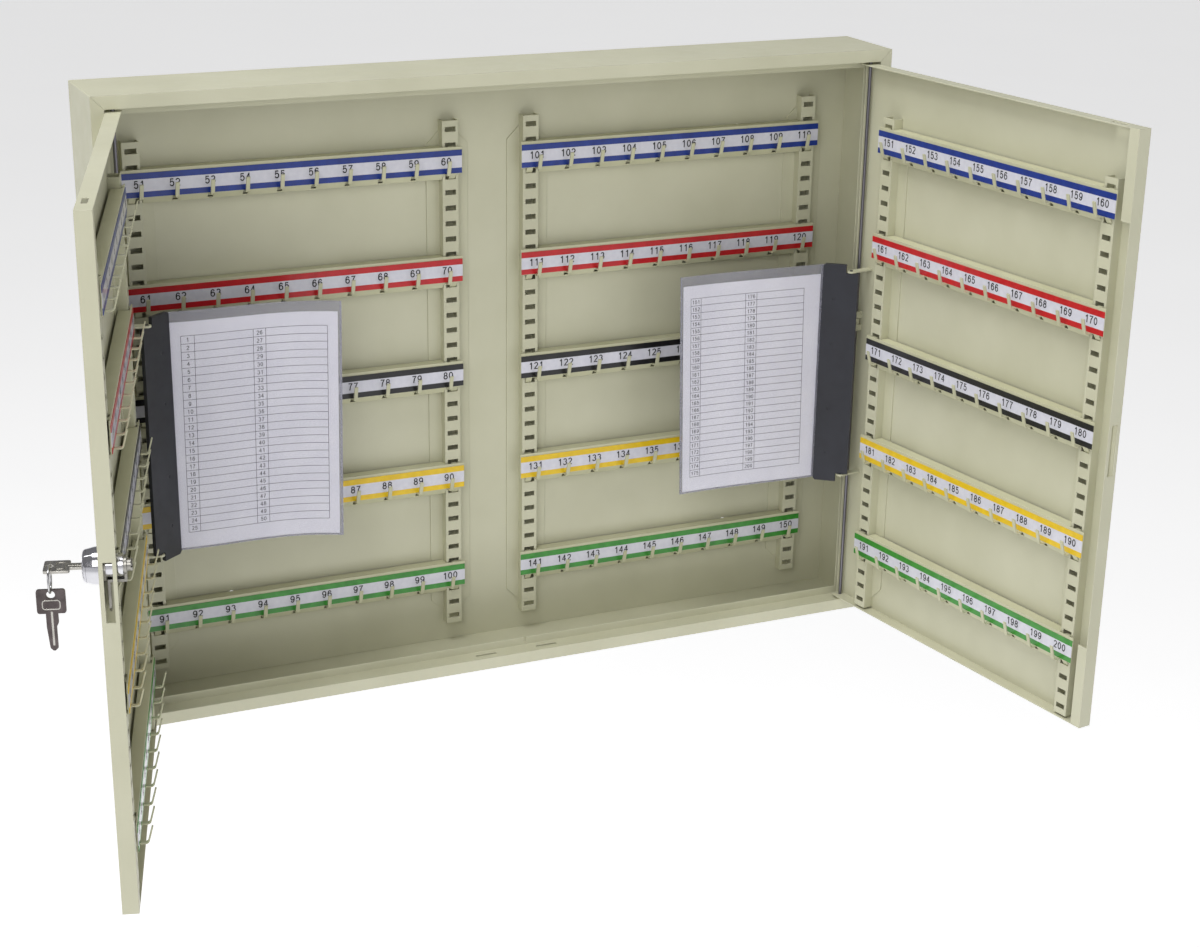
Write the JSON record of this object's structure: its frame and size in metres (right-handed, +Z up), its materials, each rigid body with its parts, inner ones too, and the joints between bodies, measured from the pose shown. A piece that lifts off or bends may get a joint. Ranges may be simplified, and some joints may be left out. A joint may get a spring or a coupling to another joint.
{
  "type": "wall key cabinet",
  "caption": "Shallow steel wall cabinet with two hinged doors, rows of numbered key hooks on adjustable bars, folding index leaves and a cam lock with keys.",
  "frame": {"origin": "centre of the four wall-screw holes, on the back face that lies against the wall", "axes": "+X to the right as seen from the front, +Y into the wall, +Z up; the doors open towards -Y"},
  "size_m": [0.8882, 0.4177, 0.55],
  "materials": {
    "body_paint": "fine textured powder coat, olive beige",
    "fitting_paint": "powder coat, olive beige",
    "hook_bar_paint": "powder coat, olive beige",
    "number_strip": "printed strip with coloured edges",
    "rod_steel": "drawn steel rod",
    "black_plastic": "moulded, satin",
    "clear_plastic": "clear flexible film",
    "index_paper": "printed paper",
    "lock_chrome": "polished",
    "lock_metal": "turned and plated",
    "cam_steel": "zinc plated",
    "key_nickel": "nickel plated",
    "ring_steel": "plated wire"
  },
  "bodies": {
    "cabinet": {"back_left_hook_bar_1": "hook_bar_paint", "back_left_hook_bar_2": "hook_bar_paint", "back_left_hook_bar_3": "hook_bar_paint", "back_left_hook_bar_4": "hook_bar_paint", "back_left_hook_bar_5": "hook_bar_paint", "back_left_number_strips": "number_strip", "back_panel": "body_paint", "back_right_hook_bar_1": "hook_bar_paint", "back_right_hook_bar_2": "hook_bar_paint", "back_right_hook_bar_3": "hook_bar_paint", "back_right_hook_bar_4": "hook_bar_paint", "back_right_hook_bar_5": "hook_bar_paint", "back_right_number_strips": "number_strip", "back_upright_1": "fitting_paint", "back_upright_2": "fitting_paint", "back_upright_3": "fitting_paint", "back_upright_4": "fitting_paint", "cabinet_wrapper": "body_paint", "front_frame": "body_paint", "left_frame_hinge_tab": "fitting_paint", "left_hinge_rod": "rod_steel", "right_frame_hinge_tab": "fitting_paint", "right_hinge_rod": "rod_steel"},
    "left_door": {"left_door_free_upright": "fitting_paint", "left_door_hinge_lugs": "fitting_paint", "left_door_hinge_upright": "fitting_paint", "left_door_hook_bar_1": "hook_bar_paint", "left_door_hook_bar_2": "hook_bar_paint", "left_door_hook_bar_3": "hook_bar_paint", "left_door_hook_bar_4": "hook_bar_paint", "left_door_hook_bar_5": "hook_bar_paint", "left_door_number_strips": "number_strip", "left_door_pan": "body_paint", "left_index_pivot_tabs": "fitting_paint", "lock_housing": "lock_chrome", "lock_nut": "lock_chrome"},
    "right_door": {"right_door_free_upright": "fitting_paint", "right_door_hinge_lugs": "fitting_paint", "right_door_hinge_upright": "fitting_paint", "right_door_hook_bar_1": "hook_bar_paint", "right_door_hook_bar_2": "hook_bar_paint", "right_door_hook_bar_3": "hook_bar_paint", "right_door_hook_bar_4": "hook_bar_paint", "right_door_hook_bar_5": "hook_bar_paint", "right_door_number_strips": "number_strip", "right_door_pan": "body_paint", "right_index_pivot_tabs": "fitting_paint"},
    "left_leaf": {"left_index_pocket": "clear_plastic", "left_index_sheet": "index_paper", "left_index_spine": "black_plastic"},
    "right_leaf": {"right_index_pocket": "clear_plastic", "right_index_sheet": "index_paper", "right_index_spine": "black_plastic"},
    "lock_core": {"lock_plug": "lock_metal", "lock_cam": "cam_steel", "cam_screw": "lock_metal"},
    "key": {"key": "key_nickel"},
    "key_ring": {"key_ring": "ring_steel"},
    "spare_key": {"spare_key": "key_nickel"}
  },
  "joints": [
    {"name": "left_door_hinge", "type": "hinge", "parent": "cabinet", "child": "left_door", "pos_m": [-0.3464, -0.0746, 0], "axis": [0, 0, 1], "range_deg": [0, 106.1]},
    {"name": "right_door_hinge", "type": "hinge", "parent": "cabinet", "child": "right_door", "pos_m": [0.3464, -0.0746, 0], "axis": [0, 0, -1], "range_deg": [-8, 98.1]},
    {"name": "left_leaf_hinge", "type": "hinge", "parent": "left_door", "child": "left_leaf", "pos_m": [-0.33262, -0.08961, 0], "axis": [0, 0, 1], "range_deg": [-101, 0]},
    {"name": "right_leaf_hinge", "type": "hinge", "parent": "right_door", "child": "right_leaf", "pos_m": [0.33067, -0.08755, 0], "axis": [0, 0, -1], "range_deg": [-100, 9]},
    {"name": "lock_turn", "type": "hinge", "parent": "left_door", "child": "lock_core", "pos_m": [-0.44344, -0.39131, 0.008], "axis": [-0.9608, 0.2773, 0], "range_deg": [0, 90]},
    {"name": "key_withdraw", "type": "slide", "parent": "lock_core", "child": "key", "axis": [-0.9608, 0.2773, 0], "range_m": [0, 0.05]},
    {"name": "key_ring_swing", "type": "hinge", "parent": "key", "child": "key_ring", "pos_m": [-0.4779, -0.38813, 0.008], "axis": [-0.2773, -0.9608, 0], "range_deg": [-30, 30]},
    {"name": "spare_key_swing", "type": "hinge", "parent": "key_ring", "child": "spare_key", "pos_m": [-0.4779, -0.38813, -0.0076], "axis": [-0.2773, -0.9608, 0], "range_deg": [-35, 35]}
  ],
  "couplings": [
    {"joint": "left_leaf_hinge", "follows": "left_door_hinge", "ratio": -0.93402},
    {"joint": "right_leaf_hinge", "follows": "right_door_hinge", "ratio": -1.0102}
  ]
}
